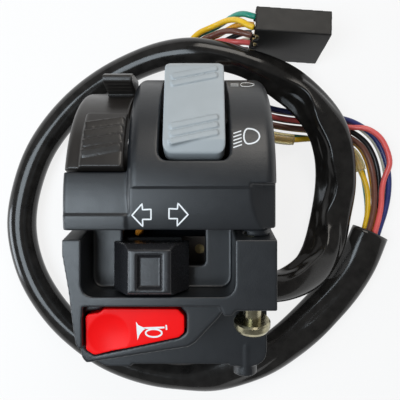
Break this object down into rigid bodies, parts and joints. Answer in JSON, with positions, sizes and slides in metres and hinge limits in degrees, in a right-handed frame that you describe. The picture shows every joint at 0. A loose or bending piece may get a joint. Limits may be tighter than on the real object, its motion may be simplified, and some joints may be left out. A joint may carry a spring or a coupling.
{
  "type": "handlebar switch cluster",
  "caption": "Left-hand motorbike handlebar switch cluster: split clamp shells with choke lever, dimmer rocker, turn-signal knob, horn button, sleeved wire harness and plug.",
  "frame": {"origin": "on the handlebar axis, at the middle of the clamp's length", "axes": "+X along the bar to the rider's right as seen from the rider, +Y towards the upper shell, +Z out of the rider's face; the cluster lies on its back at z = -22 mm"},
  "size_m": [0.1418, 0.1363, 0.0585],
  "materials": {
    "shell_plastic": "moulded, fine grain",
    "lever_plastic": "satin moulded",
    "knob_plastic": "satin moulded",
    "grey_plastic": "satin moulded",
    "red_plastic": "satin moulded",
    "carriage_plastic": "natural nylon",
    "plug_plastic": "moulded",
    "zinc_steel": "yellow zinc plate",
    "steel": "bright",
    "brass": "bright",
    "board": "phenolic sheet",
    "rubber": "matt",
    "sleeve_vinyl": "glossy soft vinyl",
    "wire_yellow": "soft vinyl",
    "wire_amber": "soft vinyl",
    "wire_pink": "soft vinyl",
    "wire_green": "soft vinyl",
    "wire_brown": "soft vinyl",
    "wire_blue": "soft vinyl",
    "wire_white": "soft vinyl",
    "bullet_vinyl": "clear vinyl, yellowed"
  },
  "bodies": {
    "housing": {"upper_housing": "shell_plastic", "lower_housing": "shell_plastic", "clamp_screws": "zinc_steel", "thread_inserts": "brass", "dimmer_pivot_pin": "steel", "dimmer_board": "board", "dimmer_rivets": "brass", "turn_board": "board", "turn_rivets": "brass", "horn_board": "board", "horn_rivets": "brass", "board_screws": "steel", "inner_lead": "wire_amber", "harness_grommet": "rubber", "harness_sleeve": "sleeve_vinyl", "wire_yellow": "wire_yellow", "wire_orange": "wire_amber", "wire_pink": "wire_pink", "wire_green": "wire_green", "wire_black": "sleeve_vinyl", "wire_brown": "wire_brown", "wire_blue": "wire_blue", "wire_white": "wire_white", "bullet_sleeves": "bullet_vinyl", "connector_housing": "plug_plastic", "connector_terminals": "brass"},
    "choke": {"choke_lever": "lever_plastic"},
    "dimmer": {"dimmer_rocker": "grey_plastic", "dimmer_detent_spring": "steel", "dimmer_detent_ball": "steel", "dimmer_wiper": "brass"},
    "turn_slide": {"turn_carriage": "carriage_plastic", "turn_detent_spring": "steel", "turn_detent_ball": "steel", "turn_wiper": "brass"},
    "turn_press": {"turn_knob": "knob_plastic", "turn_knob_spring": "steel"},
    "horn": {"horn_button": "red_plastic", "horn_spring": "steel", "horn_wiper": "brass"}
  },
  "joints": [
    {"name": "choke_turn", "type": "hinge", "parent": "housing", "child": "choke", "pos_m": [-0.018, 0, 0], "axis": [-1, 0, 0], "range_deg": [0, 22]},
    {"name": "dimmer_rock", "type": "hinge", "parent": "housing", "child": "dimmer", "pos_m": [0.0061, 0.022, 0.0211], "axis": [-1, 0, 0], "range_deg": [0, 14]},
    {"name": "turn_slide_x", "type": "slide", "parent": "housing", "child": "turn_slide", "axis": [1, 0, 0], "range_m": [0, 0.0058]},
    {"name": "turn_cancel", "type": "slide", "parent": "turn_slide", "child": "turn_press", "axis": [0, 0, -1], "range_m": [0, 0.0015], "stiffness_N_per_m": 700, "deforming": ["turn_knob_spring"]},
    {"name": "horn_press", "type": "slide", "parent": "housing", "child": "horn", "axis": [0, 0, -1], "range_m": [0, 0.0018], "stiffness_N_per_m": 900, "deforming": ["horn_spring"]}
  ]
}
